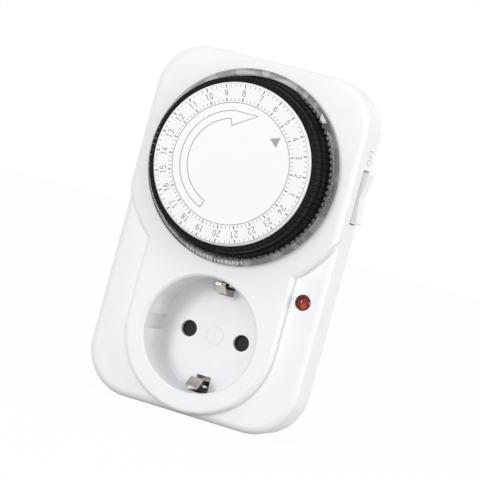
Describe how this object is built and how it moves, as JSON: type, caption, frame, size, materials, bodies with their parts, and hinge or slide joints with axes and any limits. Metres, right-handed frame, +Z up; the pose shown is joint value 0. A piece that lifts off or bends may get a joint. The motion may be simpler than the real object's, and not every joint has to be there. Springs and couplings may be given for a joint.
{
  "type": "plug in timer switch",
  "caption": "Plug-in mains timer: turning day dial with press-in tappets, pass-through earthed socket, side rocker, indicator lamp and rear plug.",
  "frame": {"origin": "on the plug's axis in the rear face that meets the wall", "axes": "+Y along the plug's axis into the wall, +Z up along the housing from the socket to the dial, +X to the right seen from the front"},
  "size_m": [0.0767, 0.0814, 0.1195],
  "materials": {
    "white_shell": "fine moulded gloss",
    "smoky_clear": "clear smoky moulding",
    "plated_steel": "zinc plated",
    "nickel_spring": "nickel plated spring strip",
    "nickel_pin": "nickel plated, turned",
    "contact_brass": "bare stamped brass",
    "ivory_insulator": "moulded insulator",
    "shutter_dark": "satin",
    "switch_dark": "satin",
    "acetal": "satin acetal",
    "red_lens": "moulded red lens",
    "lamp_glass": "clear bulb glass",
    "resistor_body": "lacquered",
    "coil_copper": "enamelled wire with tape",
    "ferrite": "sintered magnet",
    "black_dial": "moulded gloss black",
    "label_white": "printed white disc"
  },
  "bodies": {
    "housing": {"front_housing": "white_shell", "rear_housing": "white_shell", "housing_screws": "plated_steel", "guard_ring": "smoky_clear", "earth_clip_top": "nickel_spring", "earth_clip_bottom": "nickel_spring", "earth_bridge": "nickel_spring", "plug_pin_live": "nickel_pin", "plug_pin_neutral": "nickel_pin", "socket_contact_live": "contact_brass", "socket_contact_neutral": "contact_brass", "contact_carrier": "ivory_insulator", "live_busbar": "contact_brass", "load_busbar": "contact_brass", "switch_case": "switch_dark", "indicator_lens": "red_lens", "neon_lamp": "lamp_glass", "lamp_resistor": "resistor_body", "gear_plate": "ivory_insulator", "rear_plate": "ivory_insulator", "gear_arbors": "plated_steel", "motor_case": "plated_steel", "motor_coil": "coil_copper"},
    "dial": {"dial_drum": "black_dial", "label_disc": "label_white"},
    "drive": {"drive_pinion": "acetal"},
    "shutter": {"child_shutter": "shutter_dark", "shutter_spring": "nickel_spring"},
    "lever": {"follower_lever": "acetal"},
    "blade": {"switch_blade": "contact_brass"},
    "rocker": {"side_rocker": "white_shell"},
    "rotor": {"rotor": "ferrite"},
    "wheel_one": {"gear_one": "acetal"},
    "wheel_two": {"gear_two": "acetal"},
    "clutch": {"clutch_wheel": "acetal"},
    "pawl": {"reverse_pawl": "acetal"},
    "tappets_hour_00": {"tappets_hour_00": "black_dial"},
    "tappets_hour_01": {"tappets_hour_01": "black_dial"},
    "tappets_hour_02": {"tappets_hour_02": "black_dial"},
    "tappets_hour_03": {"tappets_hour_03": "black_dial"},
    "tappets_hour_04": {"tappets_hour_04": "black_dial"},
    "tappets_hour_05": {"tappets_hour_05": "black_dial"},
    "tappets_hour_06": {"tappets_hour_06": "black_dial"},
    "tappets_hour_07": {"tappets_hour_07": "black_dial"},
    "tappets_hour_08": {"tappets_hour_08": "black_dial"},
    "tappets_hour_09": {"tappets_hour_09": "black_dial"},
    "tappets_hour_10": {"tappets_hour_10": "black_dial"},
    "tappets_hour_11": {"tappets_hour_11": "black_dial"},
    "tappets_hour_12": {"tappets_hour_12": "black_dial"},
    "tappets_hour_13": {"tappets_hour_13": "black_dial"},
    "tappets_hour_14": {"tappets_hour_14": "black_dial"},
    "tappets_hour_15": {"tappets_hour_15": "black_dial"},
    "tappets_hour_16": {"tappets_hour_16": "black_dial"},
    "tappets_hour_17": {"tappets_hour_17": "black_dial"},
    "tappets_hour_18": {"tappets_hour_18": "black_dial"},
    "tappets_hour_19": {"tappets_hour_19": "black_dial"},
    "tappets_hour_20": {"tappets_hour_20": "black_dial"},
    "tappets_hour_21": {"tappets_hour_21": "black_dial"},
    "tappets_hour_22": {"tappets_hour_22": "black_dial"},
    "tappets_hour_23": {"tappets_hour_23": "black_dial"}
  },
  "joints": [
    {"name": "dial_spin", "type": "hinge", "parent": "housing", "child": "dial", "pos_m": [0, -0.033, 0.0566], "axis": [0, 1, 0], "continuous": true},
    {"name": "drive_spin", "type": "hinge", "parent": "housing", "child": "drive", "pos_m": [-0.02425, -0.02, 0.0426], "axis": [0, 1, 0], "continuous": true},
    {"name": "rotor_spin", "type": "hinge", "parent": "housing", "child": "rotor", "pos_m": [-0.0017, -0.01, 0.06624], "axis": [0, 1, 0], "continuous": true},
    {"name": "wheel_one_spin", "type": "hinge", "parent": "housing", "child": "wheel_one", "pos_m": [-0.01089, -0.016, 0.05852], "axis": [0, 1, 0], "continuous": true},
    {"name": "wheel_two_spin", "type": "hinge", "parent": "housing", "child": "wheel_two", "pos_m": [-0.02217, -0.018, 0.05442], "axis": [0, 1, 0], "continuous": true},
    {"name": "clutch_spin", "type": "hinge", "parent": "housing", "child": "clutch", "pos_m": [-0.02425, -0.02, 0.0426], "axis": [0, 1, 0], "continuous": true},
    {"name": "pawl_swing", "type": "hinge", "parent": "housing", "child": "pawl", "pos_m": [0.0053, -0.015, 0.07124], "axis": [0, 1, 0], "range_deg": [-12, 12]},
    {"name": "shutter_turn", "type": "hinge", "parent": "housing", "child": "shutter", "pos_m": [0, -0.01, 0], "axis": [0, 1, 0], "range_deg": [-35, 0], "stiffness_Nm_per_rad": 0.01},
    {"name": "lever_tilt", "type": "hinge", "parent": "housing", "child": "lever", "pos_m": [0.013, -0.024, 0.02632], "axis": [1, 0, 0], "range_deg": [-15, 0], "stiffness_Nm_per_rad": 0.02},
    {"name": "blade_flex", "type": "hinge", "parent": "housing", "child": "blade", "pos_m": [0.027, -0.0197, 0.03], "axis": [0, 0, 1], "range_deg": [-4.8, 0], "stiffness_Nm_per_rad": 0.02},
    {"name": "rocker_tilt", "type": "hinge", "parent": "housing", "child": "rocker", "pos_m": [0.0336, -0.0195, 0.0569], "axis": [0, 1, 0], "range_deg": [-9.5, 0]},
    {"name": "press_hour_00", "type": "slide", "parent": "dial", "child": "tappets_hour_00", "axis": [0, 1, 0], "range_m": [0, 0.003]},
    {"name": "press_hour_01", "type": "slide", "parent": "dial", "child": "tappets_hour_01", "axis": [0, 1, 0], "range_m": [0, 0.003]},
    {"name": "press_hour_02", "type": "slide", "parent": "dial", "child": "tappets_hour_02", "axis": [0, 1, 0], "range_m": [0, 0.003]},
    {"name": "press_hour_03", "type": "slide", "parent": "dial", "child": "tappets_hour_03", "axis": [0, 1, 0], "range_m": [0, 0.003]},
    {"name": "press_hour_04", "type": "slide", "parent": "dial", "child": "tappets_hour_04", "axis": [0, 1, 0], "range_m": [0, 0.003]},
    {"name": "press_hour_05", "type": "slide", "parent": "dial", "child": "tappets_hour_05", "axis": [0, 1, 0], "range_m": [0, 0.003]},
    {"name": "press_hour_06", "type": "slide", "parent": "dial", "child": "tappets_hour_06", "axis": [0, 1, 0], "range_m": [0, 0.003]},
    {"name": "press_hour_07", "type": "slide", "parent": "dial", "child": "tappets_hour_07", "axis": [0, 1, 0], "range_m": [0, 0.003]},
    {"name": "press_hour_08", "type": "slide", "parent": "dial", "child": "tappets_hour_08", "axis": [0, 1, 0], "range_m": [0, 0.003]},
    {"name": "press_hour_09", "type": "slide", "parent": "dial", "child": "tappets_hour_09", "axis": [0, 1, 0], "range_m": [0, 0.003]},
    {"name": "press_hour_10", "type": "slide", "parent": "dial", "child": "tappets_hour_10", "axis": [0, 1, 0], "range_m": [0, 0.003]},
    {"name": "press_hour_11", "type": "slide", "parent": "dial", "child": "tappets_hour_11", "axis": [0, 1, 0], "range_m": [0, 0.003]},
    {"name": "press_hour_12", "type": "slide", "parent": "dial", "child": "tappets_hour_12", "axis": [0, 1, 0], "range_m": [0, 0.003]},
    {"name": "press_hour_13", "type": "slide", "parent": "dial", "child": "tappets_hour_13", "axis": [0, 1, 0], "range_m": [0, 0.003]},
    {"name": "press_hour_14", "type": "slide", "parent": "dial", "child": "tappets_hour_14", "axis": [0, 1, 0], "range_m": [0, 0.003]},
    {"name": "press_hour_15", "type": "slide", "parent": "dial", "child": "tappets_hour_15", "axis": [0, 1, 0], "range_m": [0, 0.003]},
    {"name": "press_hour_16", "type": "slide", "parent": "dial", "child": "tappets_hour_16", "axis": [0, 1, 0], "range_m": [0, 0.003]},
    {"name": "press_hour_17", "type": "slide", "parent": "dial", "child": "tappets_hour_17", "axis": [0, 1, 0], "range_m": [0, 0.003]},
    {"name": "press_hour_18", "type": "slide", "parent": "dial", "child": "tappets_hour_18", "axis": [0, 1, 0], "range_m": [0, 0.003]},
    {"name": "press_hour_19", "type": "slide", "parent": "dial", "child": "tappets_hour_19", "axis": [0, 1, 0], "range_m": [0, 0.003]},
    {"name": "press_hour_20", "type": "slide", "parent": "dial", "child": "tappets_hour_20", "axis": [0, 1, 0], "range_m": [0, 0.003]},
    {"name": "press_hour_21", "type": "slide", "parent": "dial", "child": "tappets_hour_21", "axis": [0, 1, 0], "range_m": [0, 0.003]},
    {"name": "press_hour_22", "type": "slide", "parent": "dial", "child": "tappets_hour_22", "axis": [0, 1, 0], "range_m": [0, 0.003]},
    {"name": "press_hour_23", "type": "slide", "parent": "dial", "child": "tappets_hour_23", "axis": [0, 1, 0], "range_m": [0, 0.003]}
  ],
  "couplings": [
    {"joint": "drive_spin", "follows": "dial_spin", "ratio": -6},
    {"joint": "wheel_one_spin", "follows": "rotor_spin", "ratio": -0.2},
    {"joint": "wheel_two_spin", "follows": "rotor_spin", "ratio": 0.04},
    {"joint": "clutch_spin", "follows": "rotor_spin", "ratio": -0.008},
    {"joint": "blade_flex", "follows": "lever_tilt", "ratio": 0.3133}
  ]
}
